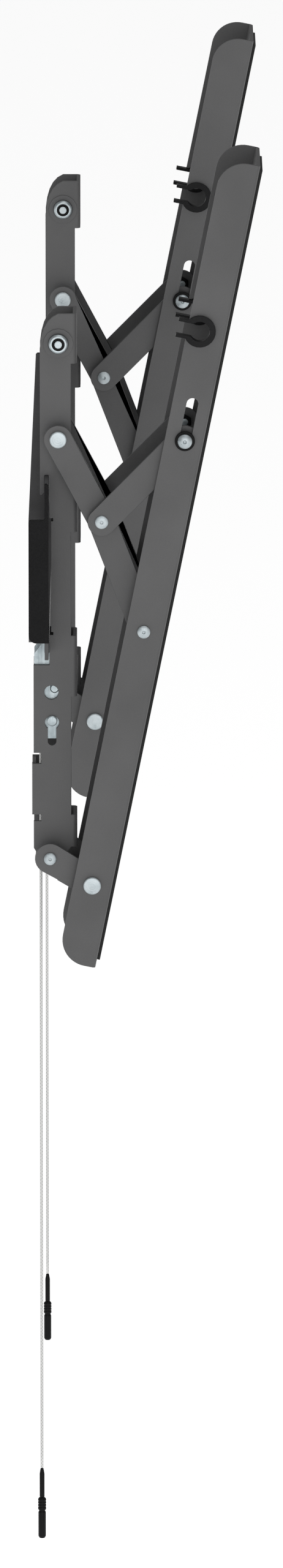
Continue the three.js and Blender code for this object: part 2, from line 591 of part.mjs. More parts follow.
// ---------- Latch ----------
// A guide pin: fast in one of the slide's side plates, with a head outside the wall bracket's keyhole.
function guidePin(side, inner) {
  const { x, z, shaft } = LATCH_PIN;
  return turned(x, z, onSide(side, [
    [0, inner - 0.6], [shaft, inner - 0.6], [shaft, wallHalf + GAP],
    ...headProfile(LATCH_PIN, wallHalf + GAP, true),
  ]));
}

// A sliding latch between the wall bracket's cheeks: two hooked side plates joined by a floor.
function latchSlide() {
  const outer = wallHalf - SHEET - GAP;
  const inner = outer - LATCH_SHEET;
  const hookFront = lipRear - GAP;
  const hookRear = WALL_FOOT_REAR + GAP;
  const underLip = -railTop - RAIL_BOTTOM_LIP - LATCH_HOOK.underLip;
  const bodyFront = ANCHOR.x + LATCH_FRONT;
  const bodyRear = CORD.x - LATCH_BACK;
  const shape = new THREE.Shape();
  shape.moveTo(hookRear, underLip - LATCH_HOOK.heel);
  shape.lineTo(hookRear, underLip - LATCH_HOOK.throat);
  shape.lineTo(hookFront - LATCH_HOOK.nose, LATCH_HOOK_TOP);
  shape.lineTo(hookFront, LATCH_HOOK_TOP);
  shape.lineTo(hookFront, underLip);
  shape.lineTo(bodyFront, underLip);
  shape.lineTo(bodyFront, LATCH_BOTTOM);
  shape.lineTo(bodyRear, LATCH_BOTTOM);
  shape.lineTo(bodyRear, underLip - LATCH_HOOK.neck);
  shape.closePath();
  const sides = onBothSides((side) => plate(shape, ...spanOf(side, inner, outer)));
  const floor = block(bodyRear, bodyFront, -inner - 0.5, inner + 0.5, LATCH_BOTTOM, LATCH_BOTTOM + LATCH_SHEET);
  const through = [-outer - 1, outer + 1];
  const slotHalf = ANCHOR.radius + 0.4;
  const pins = onBothSides((side) => guidePin(side, inner));
  return cutBy(joined([...sides, floor, ...pins]), [
    uprightSlot(ANCHOR.x, ANCHOR.z, ANCHOR.z + LATCH_TRAVEL + 0.4, slotHalf, ...through),
    upright(CORD.x, 0, [[0, LATCH_BOTTOM + 3], [CORD.radius + GAP, LATCH_BOTTOM + 3],
      [CORD.radius + GAP, LATCH_BOTTOM - 3], [0, LATCH_BOTTOM - 3]]),
  ]);
}

// The fixed anchor: a tab from the wall bracket's web that ends in a cross bar for the spring.
function springAnchor() {
  const reach = wallHalf - SHEET - GAP;
  const tab = block(ANCHOR.x, WALL_FRONT - SHEET - GAP, -1.2, 1.2, ANCHOR.z - 1.5, ANCHOR.z + 1.5);
  const foot = WALL_FRONT - SHEET - GAP;
  const pad = block(foot - 1.2, foot, -5, 5, ANCHOR.z - 2.6, ANCHOR.z + 6);
  return joined([round(ANCHOR.x, ANCHOR.z, ANCHOR.radius, -reach, reach), tab, pad]);
}

// A helix of round wire from just above the latch floor to just under the anchor bar.
class CoilCurve extends THREE.Curve {
  constructor(x, radius, z0, z1, turns) {
    super();
    Object.assign(this, { x, radius, z0, z1, turns });
  }

  getPoint(t) {
    const angle = t * this.turns * 2 * Math.PI;
    const z = this.z0 + (this.z1 - this.z0) * t;
    return new THREE.Vector3(this.x + this.radius * Math.cos(angle), this.radius * Math.sin(angle), z);
  }
}

// A round rod along a curve.
function rodAlong(curve, radius, steps, sides) {
  const section = new THREE.Shape();
  section.absarc(0, 0, radius, 0, 2 * Math.PI, false);
  return new THREE.ExtrudeGeometry(section, {
    steps, bevelEnabled: false, curveSegments: sides / 2, extrudePath: curve,
  });
}

function latchSpring() {
  const low = LATCH_BOTTOM + LATCH_SHEET + GAP + SPRING.wire;
  const high = ANCHOR.z - ANCHOR.radius - GAP - SPRING.wire;
  const curve = new CoilCurve(ANCHOR.x, SPRING.radius, low, high, SPRING.turns);
  return rodAlong(curve, SPRING.wire, SPRING.turns * 7, 6);
}

// ---------- Pull cord ----------
const cordTop = LATCH_BOTTOM + LATCH_SHEET + 1.2;
const CORD_POINTS = [
  [CORD.x, 0, cordTop],
  [CORD.x, 0, -150],
  [CORD.x, 0, -260],
  [CORD.x, 0, -370],
  [CORD.x, 0, CORD.bottom],
].map((point) => new THREE.Vector3(...point));

function pullCord() {
  return rodAlong(new THREE.CatmullRomCurve3(CORD_POINTS), CORD.radius, 12, 8);
}

function cordSleeve() {
  const top = CORD.bottom - GAP;
  const { radius, length } = SLEEVE;
  return upright(CORD.x, 0, [
    [0, top], [radius * 0.7, top], [radius, top - 1.2], [radius, top - length], [0, top - length],
  ]);
}

function pullHandle() {
  const top = CORD.bottom - SLEEVE.length - 2 * GAP;
  const { collar, collarLength, body, bodyLength } = PULL;
  const waist = top - collarLength;
  return upright(CORD.x, 0, [
    [0, top], [collar * 0.75, top], [collar, top - 0.8], [collar, waist + 0.6], [body * 0.8, waist],
    [body, waist - 1], [body, waist - bodyLength + 1], [body * 0.7, waist - bodyLength], [0, waist - bodyLength],
  ]);
}

// ---------- Assembly ----------
const mount = new THREE.Group();

function addPiece(parent, name, shape, finish) {
  const geometry = shape.isBufferGeometry ? shape : geometryOf(shape);
  const mesh = new THREE.Mesh(geometry, new THREE.MeshStandardMaterial(finish));
  mesh.name = name;
  parent.add(mesh);
}

addPiece(mount, 'wall_rail', railBody(), railPaint);
addPiece(mount, 'left_end_cap', endCap(-1), blackPlastic);
addPiece(mount, 'right_end_cap', endCap(1), blackPlastic);

for (const [side, y] of [['left', -BRACKET_SPACING / 2], ['right', BRACKET_SPACING / 2]]) {
  const bracket = new THREE.Group();
  bracket.position.y = y;
  mount.add(bracket);
  const add = (name, shape, finish) => addPiece(bracket, `${side}_${name}`, shape, finish);

  add('wall_bracket', wallBracket(), steelPaint);
  add('top_bolt', topBolt(), zinc);
  add('upper_axle', crossAxle(UPPER_PIVOT, UPPER_AXLE, armInner, armOuter + GAP, false), zinc);
  add('lower_axle', crossAxle(LOWER_PIVOT, LOWER_AXLE, footLinkInner, footLinkOuter + GAP, true), zinc);
  add('foot_link', footLink(), steelPaint);
  add('foot_axle', footAxle(), zinc);

  const leaning = new THREE.Group();
  leaning.position.set(SCREEN_FOOT.x, 0, SCREEN_FOOT.y);
  leaning.rotation.y = SCREEN_LEAN;
  bracket.add(leaning);
  addPiece(leaning, `${side}_screen_bracket`, screenBracket(), steelPaint);
  addPiece(leaning, `${side}_screen_pad`, screenPad(), blackFoam);

  for (const [place, hand] of [['near', -1], ['far', 1]]) {
    add(`${place}_arm_plate`, armPlate(hand), steelPaint);
    add(`${place}_tilt_plate`, tiltPlate(hand), steelPaint);
    add(`${place}_elbow_rivet`, elbowRivet(hand), zinc);
    add(`${place}_arm_rivet`, armRivet(hand), zinc);
    add(`${place}_slot_bolt`, slotBolt(hand), zinc);
    add(`${place}_slot_bush`, slotBush(hand), blackPlastic);
    addPiece(leaning, `${side}_${place}_cable_clip`, cableClip(hand), blackPlastic);
  }

  add('latch_slide', latchSlide(), zinc);
  add('spring_anchor', springAnchor(), zinc);
  add('latch_spring', latchSpring(), springSteel);
  add('pull_cord', pullCord(), cordNylon);
  add('cord_sleeve', cordSleeve(), blackPlastic);
  add('pull_handle', pullHandle(), blackPlastic);
}

export default mount;
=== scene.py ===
from math import cos, pi, radians, sin

import bmesh
import bpy
import numpy as np
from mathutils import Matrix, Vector


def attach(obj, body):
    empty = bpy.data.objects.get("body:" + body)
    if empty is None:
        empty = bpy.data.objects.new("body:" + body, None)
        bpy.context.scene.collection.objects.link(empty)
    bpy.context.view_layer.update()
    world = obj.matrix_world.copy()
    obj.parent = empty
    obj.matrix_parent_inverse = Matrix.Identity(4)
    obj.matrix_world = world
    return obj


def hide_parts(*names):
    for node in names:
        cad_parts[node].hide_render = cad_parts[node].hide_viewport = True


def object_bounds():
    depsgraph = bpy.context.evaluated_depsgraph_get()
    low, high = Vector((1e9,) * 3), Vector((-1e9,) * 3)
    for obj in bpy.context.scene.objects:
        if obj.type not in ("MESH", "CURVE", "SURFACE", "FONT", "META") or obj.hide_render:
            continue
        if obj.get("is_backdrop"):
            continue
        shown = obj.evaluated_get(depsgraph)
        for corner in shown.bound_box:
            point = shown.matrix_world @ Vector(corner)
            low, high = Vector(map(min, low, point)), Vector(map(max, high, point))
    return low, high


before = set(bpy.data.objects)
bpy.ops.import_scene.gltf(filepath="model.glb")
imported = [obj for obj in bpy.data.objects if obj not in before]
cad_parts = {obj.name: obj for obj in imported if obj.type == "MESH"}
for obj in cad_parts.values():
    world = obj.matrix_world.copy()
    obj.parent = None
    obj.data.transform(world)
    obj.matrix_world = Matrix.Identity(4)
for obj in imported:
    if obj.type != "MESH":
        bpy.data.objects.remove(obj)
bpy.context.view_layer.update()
scene = bpy.context.scene

# ---------------------------------------------------------------- Camera
# The view looks along the rail from beside the left bracket, far off and a little above,
# so both brackets stand almost edge on and one behind the other.
camera = bpy.data.objects.new("camera", bpy.data.cameras.new("camera"))
scene.collection.objects.link(camera)
camera.data.sensor_fit = "VERTICAL"
camera.data.sensor_height = 36.0
camera.data.lens = 286.6
camera.data.clip_end = 100.0
camera.location = (0.058507, -6.56571, 1.31248)
camera.rotation_euler = (radians(90.0 - 12.639), 0.0, 0.0)
scene.camera = camera

# ---------------------------------------------------------------- Pull cords
# Each latch is drawn down by a thin braided nylon cord that hangs straight from the latch's floor.
# Its top passes through a hole in the floor, and its tail runs down to a black sleeve and a handle.
MM = 0.001
BRACKETS = (("left", -200.0), ("right", 200.0))  # each bracket's middle plane along the rail
CORD_X = 5.9
CORD_RADIUS = 0.75
CORD_POINTS = [(CORD_X, -85.7), (CORD_X, -150.0), (CORD_X, -260.0), (CORD_X, -370.0), (CORD_X, -485.6)]


def grid_mesh(name, points, wrap_u, uv_scale=(1.0, 1.0)):
    """Mesh from an array of points[v, u]: quads join neighbours, and the u direction closes on itself
    when wrap_u is true. The UV map is (u / columns, v / rows), times the scale."""
    rows, cols = points.shape[:2]
    span = cols if wrap_u else cols - 1
    v, u = np.meshgrid(np.arange(rows - 1), np.arange(span), indexing="ij")
    nxt = (u + 1) % cols
    low, up = v * cols, (v + 1) * cols
    quads = np.stack([low + u, low + nxt, up + nxt, up + u], -1).reshape(-1, 4)
    mesh = bpy.data.meshes.new(name)
    mesh.from_pydata(points.reshape(-1, 3), [], quads.tolist())
    corner_u = np.stack([u, u + 1, u + 1, u], -1).reshape(-1) / span * uv_scale[0]
    corner_v = np.stack([v, v, v + 1, v + 1], -1).reshape(-1) / (rows - 1) * uv_scale[1]
    layer = mesh.uv_layers.new(name="surface")
    layer.data.foreach_set("uv", np.stack([corner_u, corner_v], -1).astype(np.float32).reshape(-1))
    return mesh


def put(name, mesh, material):
    """An object at the origin that shows the mesh in one material, with smooth faces."""
    mesh.shade_smooth()
    mesh.materials.append(material)
    piece = bpy.data.objects.new(name, mesh)
    scene.collection.objects.link(piece)
    return piece


def capped(mesh):
    """Closes open rings at the ends of a swept mesh with flat caps, and turns every face outward."""
    work = bmesh.new()
    work.from_mesh(mesh)
    bmesh.ops.remove_doubles(work, verts=work.verts, dist=1e-7)
    bmesh.ops.holes_fill(work, edges=[e for e in work.edges if e.is_boundary], sides=0)
    bmesh.ops.recalc_face_normals(work, faces=work.faces)
    work.to_mesh(mesh)
    work.free()
    return mesh


def swept_rod(name, path, radius, sides):
    """A round rod along a path: each ring is centre + radius * (cos a * side + sin a * other),
    where side and other are carried along the path square to its tangent. UV v is metres along it."""
    path = np.asarray(path, float)
    tangent = np.gradient(path, axis=0)
    tangent /= np.linalg.norm(tangent, axis=1, keepdims=True)
    side = np.cross(tangent, (0.0, 1.0, 0.0))
    weak = np.linalg.norm(side, axis=1) < 1e-6
    side[weak] = np.cross(tangent[weak], (1.0, 0.0, 0.0))
    side /= np.linalg.norm(side, axis=1, keepdims=True)
    other = np.cross(tangent, side)
    angle = np.linspace(0.0, 2.0 * pi, sides, endpoint=False)[None, :, None]
    rings = path[:, None] + radius * (np.cos(angle) * side[:, None] + np.sin(angle) * other[:, None])
    length = np.linalg.norm(np.diff(path, axis=0), axis=1).sum()
    return capped(grid_mesh(name, rings, True, (1.0, length)))


def finish_nodes(name, roughness, metallic=0.0):
    """A new material: its node tree, its links and its main shader, with the plain values set."""
    material = bpy.data.materials.new(name)
    material.use_nodes = True
    tree = material.node_tree
    shader = tree.nodes["Principled BSDF"]
    shader.inputs["Roughness"].default_value = roughness
    shader.inputs["Metallic"].default_value = metallic
    return material, tree.nodes, tree.links, shader


def noise(nodes, links, vector, scale, detail=2.0, roughness=0.5):
    """Noise texture that reads a vector output."""
    texture = nodes.new("ShaderNodeTexNoise")
    texture.inputs["Scale"].default_value = scale
    texture.inputs["Detail"].default_value = detail
    texture.inputs["Roughness"].default_value = roughness
    links.new(vector, texture.inputs["Vector"])
    return texture.outputs["Fac"]


def shades(nodes, links, factor, low, high, colours):
    """A ramp from one colour to the next over part of a factor's range."""
    ramp = nodes.new("ShaderNodeValToRGB")
    ramp.color_ramp.elements[0].position = low
    ramp.color_ramp.elements[1].position = high
    ramp.color_ramp.elements[0].color = (*colours[0], 1.0)
    ramp.color_ramp.elements[1].color = (*colours[1], 1.0)
    links.new(factor, ramp.inputs["Fac"])
    return ramp.outputs["Color"]


def ranged(nodes, links, factor, low, high):
    """A factor from 0.3 to 0.7 stretched to run from low to high."""
    mapped = nodes.new("ShaderNodeMapRange")
    mapped.inputs["From Min"].default_value = 0.3
    mapped.inputs["From Max"].default_value = 0.7
    mapped.inputs["To Min"].default_value = low
    mapped.inputs["To Max"].default_value = high
    links.new(factor, mapped.inputs["Value"])
    return mapped.outputs["Result"]


def relief(nodes, links, shader, height, strength, distance):
    """Bump from a height output, in metres at full strength."""
    bump = nodes.new("ShaderNodeBump")
    bump.inputs["Strength"].default_value = strength
    bump.inputs["Distance"].default_value = distance
    links.new(height, bump.inputs["Height"])
    links.new(bump.outputs["Normal"], shader.inputs["Normal"])


def calculate(nodes, links, operation, first, second):
    """One arithmetic step between an output and an output or number."""
    step = nodes.new("ShaderNodeMath")
    step.operation = operation
    links.new(first, step.inputs[0])
    if isinstance(second, (int, float)):
        step.inputs[1].default_value = second
    else:
        links.new(second, step.inputs[1])
    return step.outputs["Value"]


def braided_nylon():
    """Two families of strands wind round the cord opposite ways; where they cross, the cord swells. The colour
    follows the swelling: painted highlight on the crests and painted shade in the grooves.
    """
    material, nodes, links, shader = finish_nodes("braided_nylon", 0.7)
    uv = nodes.new("ShaderNodeUVMap")
    uv.uv_map = "surface"
    parts = nodes.new("ShaderNodeSeparateXYZ")
    links.new(uv.outputs["UV"], parts.inputs["Vector"])
    around = calculate(nodes, links, "MULTIPLY", parts.outputs["X"], 6.0 * pi)
    along = calculate(nodes, links, "MULTIPLY", parts.outputs["Y"], 2.0 * pi / 0.0018)
    right = calculate(nodes, links, "SINE", calculate(nodes, links, "ADD", along, around), 0.0)
    left = calculate(nodes, links, "SINE", calculate(nodes, links, "SUBTRACT", along, around), 0.0)
    weave = calculate(nodes, links, "MAXIMUM", right, left)
    # Painted light and shade: the colour darkens in the grooves between the strands and lightens on their
    # crests.
    colour = shades(nodes, links, weave, 0.0, 0.9, ((0.55, 0.55, 0.54), (0.8, 0.8, 0.79)))
    links.new(colour, shader.inputs["Base Color"])
    relief(nodes, links, shader, weave, 0.5, 0.0001)
    return material


cord_finish = braided_nylon()
cords = {}
for bracket, y in BRACKETS:
    heights = np.linspace(CORD_POINTS[0][1], CORD_POINTS[-1][1], 60)
    route = np.stack([np.full(60, CORD_X), np.full(60, y), heights], -1) * MM
    cords[bracket] = put(
        f"{bracket}_cord", swept_rod(f"{bracket}_cord", route, CORD_RADIUS * MM, 12), cord_finish
    )
    cords[bracket + "_route"] = route

# ---------------------------------------------------------------- Cord sleeves and pull handles
# A thin black sleeve stands at the cord's tail, and below it a slim moulded black grip: a ringed
# collar, a waist, and a plain bar with a rounded end.


def revolved(name, profile, axis, origin, sides=48):
    """Surface of revolution: a point (r, h) of the profile sweeps the ring
    origin + r * (cos a * e1 + sin a * e2) + h * axis. UV is (turn, share of the profile), in metres."""
    profile = np.asarray(profile, float) * MM
    if 0.5 * np.sum(profile[:-1, 0] * profile[1:, 1] - profile[1:, 0] * profile[:-1, 1]) < 0:
        profile = profile[::-1]
    angle = np.linspace(0.0, 2.0 * pi, sides, endpoint=False)
    first, second = ((1.0, 0.0, 0.0), (0.0, 0.0, -1.0)) if axis == "Y" else ((1.0, 0.0, 0.0), (0.0, 1.0, 0.0))
    along = (0.0, 1.0, 0.0) if axis == "Y" else (0.0, 0.0, 1.0)
    ring = np.cos(angle)[:, None] * np.array(first) + np.sin(angle)[:, None] * np.array(second)
    points = profile[:, :1, None] * ring[None] + profile[:, 1:, None] * np.array(along)
    points = points + np.array(origin) * MM
    step = np.linalg.norm(np.diff(profile, axis=0), axis=1).sum()
    mesh = grid_mesh(name, points, True, (1.0, step))
    work = bmesh.new()
    work.from_mesh(mesh)
    bmesh.ops.remove_doubles(work, verts=work.verts, dist=1e-7)
    bmesh.ops.recalc_face_normals(work, faces=work.faces)
    work.to_mesh(mesh)
    work.free()
    return mesh


def rounded(profile, radius, steps=4):
    """The profile with each inner corner replaced by a quadratic curve that starts and ends
    at most the radius before and after the corner."""
    profile = np.asarray(profile, float)
    out = [profile[0]]
    for before, corner, after in zip(profile[:-2], profile[1:-1], profile[2:]):
        into, away = before - corner, after - corner
        reach_in = min(radius, 0.45 * np.linalg.norm(into))
        reach_out = min(radius, 0.45 * np.linalg.norm(away))
        start = corner + into / np.linalg.norm(into) * reach_in
        end = corner + away / np.linalg.norm(away) * reach_out
        t = np.linspace(0.0, 1.0, steps)[:, None]
        out.extend((1 - t) ** 2 * start + 2 * t * (1 - t) * corner + t**2 * end)
    out.append(profile[-1])
    return np.array(out)


def moulded_plastic(name, colour, roughness, grain):
    """Black moulding: a faint spark texture in the surface, with slightly uneven gloss."""
    material, nodes, links, shader = finish_nodes(name, roughness)
    place = nodes.new("ShaderNodeTexCoord").outputs["Object"]
    fine = noise(nodes, links, place, grain, 3.0)
    broad = noise(nodes, links, place, 60.0, 2.0)
    dark = tuple(0.75 * c for c in colour)
    links.new(shades(nodes, links, broad, 0.3, 0.7, (dark, colour)), shader.inputs["Base Color"])
    links.new(ranged(nodes, links, fine, roughness - 0.1, roughness + 0.1), shader.inputs["Roughness"])
    shader.inputs["Specular IOR Level"].default_value = 0.12
    relief(nodes, links, shader, fine, 0.35, 0.00006)
    return material


handle_finish = moulded_plastic("moulded_black", (0.007, 0.007, 0.0075), 0.42, 2500.0)
SLEEVE_TOP, SLEEVE_RADIUS, SLEEVE_LENGTH = -485.9, 1.3, 15.8
HANDLE_TOP, COLLAR_RADIUS, COLLAR_LENGTH, GRIP_RADIUS, GRIP_LENGTH = -502.0, 2.15, 7.0, 2.0, 15.1
for bracket, y in BRACKETS:
    top, low = SLEEVE_TOP, SLEEVE_TOP - SLEEVE_LENGTH
    sleeve_outline = [(0.0, top), (SLEEVE_RADIUS * 0.6, top), (SLEEVE_RADIUS * 0.8, top - 1.5),
                      (SLEEVE_RADIUS, top - 3.0), (SLEEVE_RADIUS, low), (0.0, low)]
    sleeve = put(f"{bracket}_sleeve", revolved(f"{bracket}_sleeve", rounded(sleeve_outline, 0.3), "Z",
                                               (CORD_X, y, 0.0), 24), handle_finish)
    waist = HANDLE_TOP - COLLAR_LENGTH
    outline = [(0.0, HANDLE_TOP), (COLLAR_RADIUS * 0.75, HANDLE_TOP), (COLLAR_RADIUS, HANDLE_TOP - 0.8)]
    for ring in range(3):
        z = HANDLE_TOP - 1.6 - ring * 1.5
        outline += [(COLLAR_RADIUS, z), (COLLAR_RADIUS * 0.86, z - 0.35), (COLLAR_RADIUS, z - 0.7)]
    outline += [(COLLAR_RADIUS, waist + 0.6), (GRIP_RADIUS * 0.78, waist), (GRIP_RADIUS, waist - 1.0),
                (GRIP_RADIUS, waist - GRIP_LENGTH + 1.0), (GRIP_RADIUS * 0.7, waist - GRIP_LENGTH),
                (0.0, waist - GRIP_LENGTH)]
    handle = put(f"{bracket}_handle", revolved(f"{bracket}_handle", rounded(outline, 0.25), "Z",
                                               (CORD_X, y, 0.0), 32), handle_finish)
    for piece, node, slot in ((cords[bracket], "pull_cord", "cord_nylon"),
                              (sleeve, "cord_sleeve", "black_plastic"),
                              (handle, "pull_handle", "black_plastic")):
        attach(piece, f"{bracket}_latch")
        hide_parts(f"{bracket}_{node}")
    route = cords[bracket + "_route"]

# ---------------------------------------------------------------- Wall brackets
# Each wall bracket is a folded steel channel that hooks over the rail, its web cut away but for
# short bridges. The sheet's cut edges are softened and the whole piece is powder coated.


def eased(name, node, width, material, angle=35.0):
    """The CAD node's surface, welded, with flat areas merged into single faces, then given a small
    rounding on every edge sharper than the angle, as a punched and coated sheet has."""
    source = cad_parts[node].data
    count = len(source.vertices)
    points = np.empty(count * 3)
    source.vertices.foreach_get("co", points)
    points = points.reshape(-1, 3)
    first, inverse = np.unique(np.round(points / 2e-6), axis=0, return_index=True, return_inverse=True)[1:]
    corners = np.empty(len(source.loops), int)
    source.loops.foreach_get("vertex_index", corners)
    faces = inverse.reshape(-1)[corners].reshape(-1, 3)
    apart = (faces[:, 0] != faces[:, 1]) & (faces[:, 1] != faces[:, 2]) & (faces[:, 2] != faces[:, 0])
    mesh = bpy.data.meshes.new(name)
    mesh.from_pydata(points[first], [], faces[apart].tolist())
    work = bmesh.new()
    work.from_mesh(mesh)
    bmesh.ops.dissolve_limit(work, angle_limit=radians(0.5), verts=work.verts, edges=work.edges)
    work.to_mesh(mesh)
    work.free()
    piece = put(name, mesh, material)
    bevel = piece.modifiers.new("eased_edges", "BEVEL")
    bevel.width = width * MM
    bevel.segments = 2
    bevel.limit_method = "ANGLE"
    bevel.angle_limit = radians(angle)
    bevel.harden_normals = True
    bevel.use_clamp_overlap = True
    return piece


def powder_coat(name, colour, roughness):
    """Matt powder coat: a fine orange-peel grain in height, gloss and colour, over a slight
    cloudiness in the colour."""
    material, nodes, links, shader = finish_nodes(name, roughness)
    shader.inputs["Specular IOR Level"].default_value = 0.35
    place = nodes.new("ShaderNodeTexCoord").outputs["Object"]
    grain = noise(nodes, links, place, 1400.0, 4.0, 0.6)
    cloud = noise(nodes, links, place, 22.0, 3.0)
    blend = calculate(nodes, links, "ADD", calculate(nodes, links, "MULTIPLY", grain, 0.35),
                      calculate(nodes, links, "MULTIPLY", cloud, 0.65))
    dark = tuple(0.86 * c for c in colour)
    light = tuple(1.1 * c for c in colour)
    links.new(shades(nodes, links, blend, 0.35, 0.65, (dark, light)), shader.inputs["Base Color"])
    links.new(ranged(nodes, links, grain, roughness - 0.07, roughness + 0.09), shader.inputs["Roughness"])
    relief(nodes, links, shader, grain, 0.45, 0.00008)
    return material


bracket_paint = powder_coat("grey_powder_coat", (0.104, 0.104, 0.105), 0.52)
for bracket, y in BRACKETS:
    piece = eased(f"{bracket}_wall_channel", f"{bracket}_wall_bracket", 0.3, bracket_paint)
    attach(piece, f"{bracket}_wall")
    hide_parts(f"{bracket}_wall_bracket")

# ---------------------------------------------------------------- Wall rail
# One length of rolled steel channel lies flat on the wall. Its front lip stands up above the body
# for the brackets' hooks and hangs below it for the latches. It has a darker coat than the brackets.
rail_paint = powder_coat("dark_powder_coat", (0.085, 0.085, 0.087), 0.6)
rail = eased("rail_section", "wall_rail", 0.35, rail_paint)
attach(rail, "rail")
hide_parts("wall_rail")

# ---------------------------------------------------------------- Rail end caps
# A black moulding closes each end of the rail. It has a plug that grips inside the channel and
# a cover with softened corners.
cap_finish = moulded_plastic("cap_black", (0.006, 0.006, 0.0065), 0.5, 1800.0)
for bracket, y in BRACKETS:
    piece = eased(f"{bracket}_cap", f"{bracket}_end_cap", 0.5, cap_finish)
    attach(piece, "rail")
    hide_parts(f"{bracket}_end_cap")

# ---------------------------------------------------------------- Arm plates, tilt plates and foot links
# The links are punched from flat steel and coated like the brackets. The arm plates are bent like a
# dog's leg in their own plane, the tilt plates are straight, and the foot link is a short channel.
for bracket, y in BRACKETS:
    for node, body in (("near_arm_plate", "arm"), ("far_arm_plate", "arm"), ("near_tilt_plate", "tilt_link"),
                       ("far_tilt_plate", "tilt_link"), ("foot_link", "foot")):
        piece = eased(f"{bracket}_{node}_steel", f"{bracket}_{node}", 0.3, bracket_paint)
        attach(piece, f"{bracket}_{body}")
        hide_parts(f"{bracket}_{node}")

# ---------------------------------------------------------------- Screen brackets
# Each screen bracket is a long folded channel, open towards the wall, whose cheeks have large round
# corners at the rear and slots for the tilt links' bolts.
for bracket, y in BRACKETS:
    piece = eased(f"{bracket}_screen_channel", f"{bracket}_screen_bracket", 0.35, bracket_paint)
    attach(piece, f"{bracket}_screen")
    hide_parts(f"{bracket}_screen_bracket")

# ---------------------------------------------------------------- Screen pads
# A thin black rubber strip is stuck to the front of each screen bracket, so that the screen's back
# isn't scratched. Fine ribs run up it.


def ribbed_rubber():
    """Soft black rubber with fine ribs that run up the strip, one every 2 mm."""
    material, nodes, links, shader = finish_nodes("ribbed_rubber", 0.8)
    place = nodes.new("ShaderNodeTexCoord").outputs["Object"]
    parts = nodes.new("ShaderNodeSeparateXYZ")
    links.new(place, parts.inputs["Vector"])
    across = calculate(nodes, links, "MULTIPLY", parts.outputs["Y"], 2.0 * pi / 0.002)
    rib = calculate(nodes, links, "SINE", across, 0.0)
    dust = noise(nodes, links, place, 700.0, 4.0)
    links.new(shades(nodes, links, dust, 0.3, 0.75, ((0.008, 0.008, 0.008), (0.02, 0.02, 0.02))),
              shader.inputs["Base Color"])
    links.new(ranged(nodes, links, dust, 0.7, 0.9), shader.inputs["Roughness"])
    relief(nodes, links, shader, rib, 0.6, 0.0002)
    return material


strip_finish = ribbed_rubber()
for bracket, y in BRACKETS:
    piece = eased(f"{bracket}_strip", f"{bracket}_screen_pad", 0.4, strip_finish)
    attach(piece, f"{bracket}_screen")
    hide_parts(f"{bracket}_screen_pad")

# ---------------------------------------------------------------- Axles, rivets and bolts
# Every pivot pin is turned steel with a bright zinc plate. The upper and foot axles end in flat
# discs, the others in low riveted domes with a small dimple left by the riveting tool.
GAP = 0.3  # clearance between pieces that rest on each other
WALL_HALF = 11.5
ARM_INNER, ARM_OUTER = 19.0, 21.0
TILT_INNER, TILT_OUTER = 24.0, 26.0
SCREEN_INNER, SCREEN_OUTER = 27.5, 29.5
FOOT_INNER, FOOT_OUTER = 22.0, 24.0
LEAN = radians(11.384)


def on_screen_bracket(along, depth):
    """The X and Z of a point a distance up the leaning bracket's front and a depth behind it."""
    return (34.4 + sin(LEAN) * along - cos(LEAN) * depth, -206.8 + cos(LEAN) * along + sin(LEAN) * depth)


UPPER_PIVOT, LOWER_PIVOT, ELBOW = (15.3, 72.4), (10.884, -149.581), (37.846, 29.778)
UPPER_AXLE = {"shaft": 2.8, "head": 4.4, "rise": 1.3, "shoulder": 4.4}
LOWER_AXLE = {"shaft": 2.4, "head": 3.3, "rise": 1.4, "shoulder": 3.9}
FOOT_AXLE = {"shaft": 2.4, "head": 4.6, "rise": 1.3, "collar": 4.4}
ELBOW_RIVET = {"shaft": 2.2, "head": 3.5, "rise": 1.1, "shoulder": 4.0}
ARM_RIVET = {"shaft": 2.5, "head": 3.4, "rise": 1.3, "shoulder": 4.8}
SLOT_BOLT = {"shaft": 1.9, "head": 3.8, "rise": 2.4}
ELBOW_SEAT = TILT_OUTER + 0.1  # the elbow rivet's outer head is closed tight on the tilt plate
NUT_FACE = TILT_INNER - GAP  # the slot bolts' nuts sit on the tilt plates here
BOLT_SEAT = SCREEN_OUTER + 1.2 + 2 * GAP  # outside the flange of the slot bush
BOLT_TIP = 2.2  # how far a slot bolt stands past its nut's face
ARM_JOINT = on_screen_bracket(180.726, 10.591)
FOOT_JOINT = on_screen_bracket(43.024, 10.289)
SLOT_PIN = on_screen_bracket(283.911, 9.715)


def zinc_plate(name, roughness, ring_pitch):
    """Bright zinc over turned steel: faint tool rings around the axis, a cool cloudy tint."""
    material, nodes, links, shader = finish_nodes(name, roughness, 0.6)
    uv = nodes.new("ShaderNodeUVMap")
    uv.uv_map = "surface"
    parts = nodes.new("ShaderNodeSeparateXYZ")
    links.new(uv.outputs["UV"], parts.inputs["Vector"])
    turn = calculate(nodes, links, "MULTIPLY", parts.outputs["Y"], 2.0 * pi / ring_pitch)
    rings = calculate(nodes, links, "SINE", turn, 0.0)
    place = nodes.new("ShaderNodeTexCoord").outputs["Object"]
    cloud = noise(nodes, links, place, 260.0, 3.0)
    links.new(shades(nodes, links, cloud, 0.3, 0.7, ((0.36, 0.41, 0.43), (0.54, 0.59, 0.61))),
              shader.inputs["Base Color"])
    links.new(ranged(nodes, links, cloud, roughness - 0.08, roughness + 0.12), shader.inputs["Roughness"])
    relief(nodes, links, shader, rings, 0.2, 0.00004)
    return material


pin_finish = zinc_plate("zinc_turned", 0.34, 0.0005)


def flat_head(radius, rise, seat):
    """Half outline of a flat disc head with a softened rim, seated at the given reach."""
    top = seat + rise
    return [(radius, seat), (radius, seat + rise * 0.75), (radius - rise * 0.35, top), (0.0, top)]


